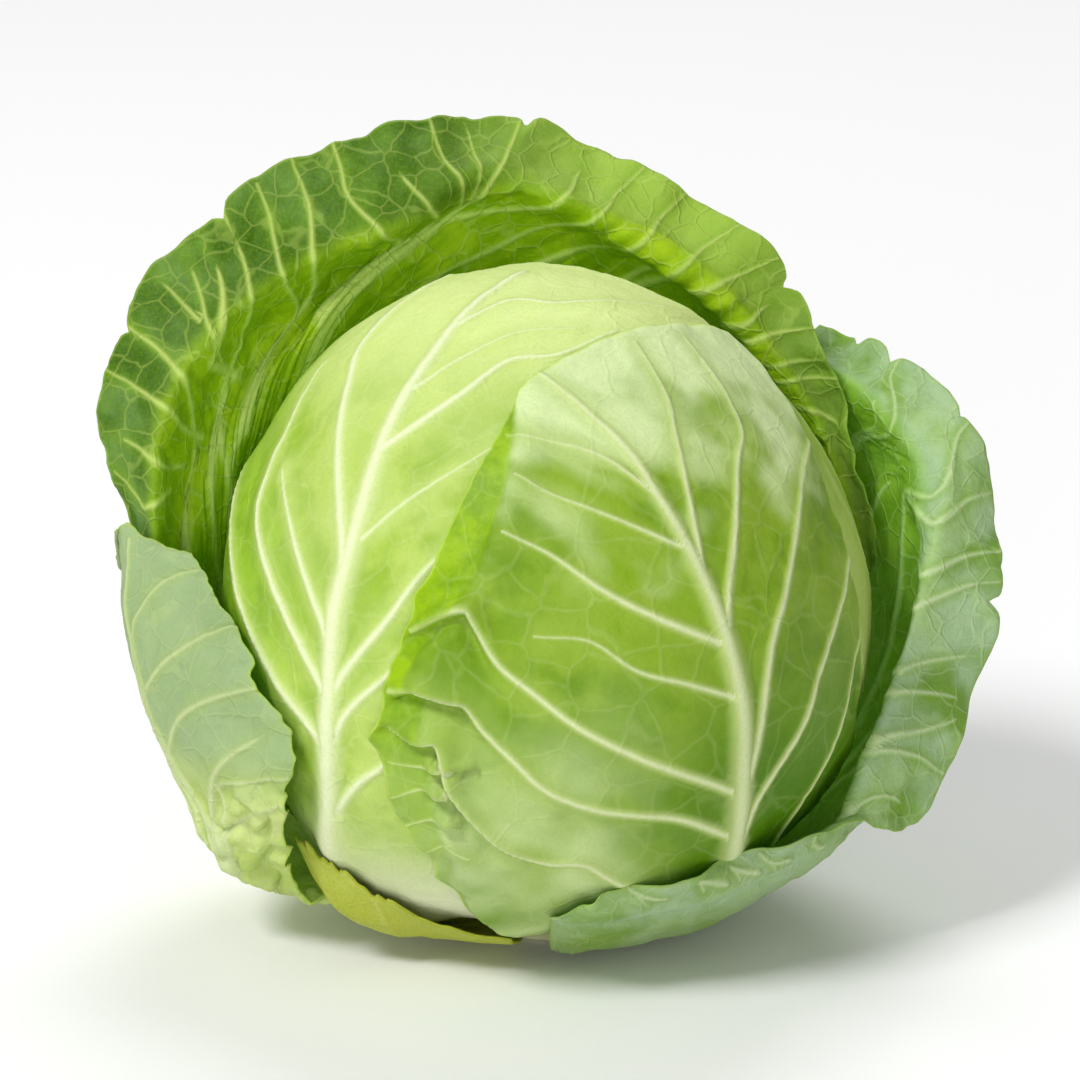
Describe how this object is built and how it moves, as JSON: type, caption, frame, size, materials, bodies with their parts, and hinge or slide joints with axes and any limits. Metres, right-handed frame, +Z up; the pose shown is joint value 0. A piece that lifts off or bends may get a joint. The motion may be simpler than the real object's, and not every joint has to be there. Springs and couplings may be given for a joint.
{
  "type": "cabbage head",
  "caption": "Green cabbage head, a firm ball of wrapped leaves with loose wavy outer leaves, standing on its cut stem.",
  "frame": {"origin": "centre of the bounding box at the ground, under the head, on the plane of the stem's cut face", "axes": "+Z up, -Y towards the front of the head where the two front wrapper leaves overlap, +X to its right"},
  "size_m": [0.2284, 0.173, 0.1965],
  "materials": {
    "stem": "matt cut stalk",
    "heart": "satin, pale green leaf",
    "wrapper_leaf": "satin, waxy green leaf",
    "outer_leaf": "satin, dark green leaf with a bluish bloom",
    "leaf_base": "matt olive leaf base"
  },
  "bodies": {
    "root": {"stem": "stem", "heart": "heart", "wrapper_leaf_left": "wrapper_leaf", "wrapper_leaf_back": "wrapper_leaf", "wrapper_leaf_right": "wrapper_leaf", "wrapper_leaf_front_left": "wrapper_leaf", "wrapper_leaf_front_right": "wrapper_leaf", "outer_leaf_back": "outer_leaf", "outer_leaf_right": "outer_leaf", "outer_leaf_left": "outer_leaf", "trimmed_leaf_base": "leaf_base"}
  },
  "joints": []
}
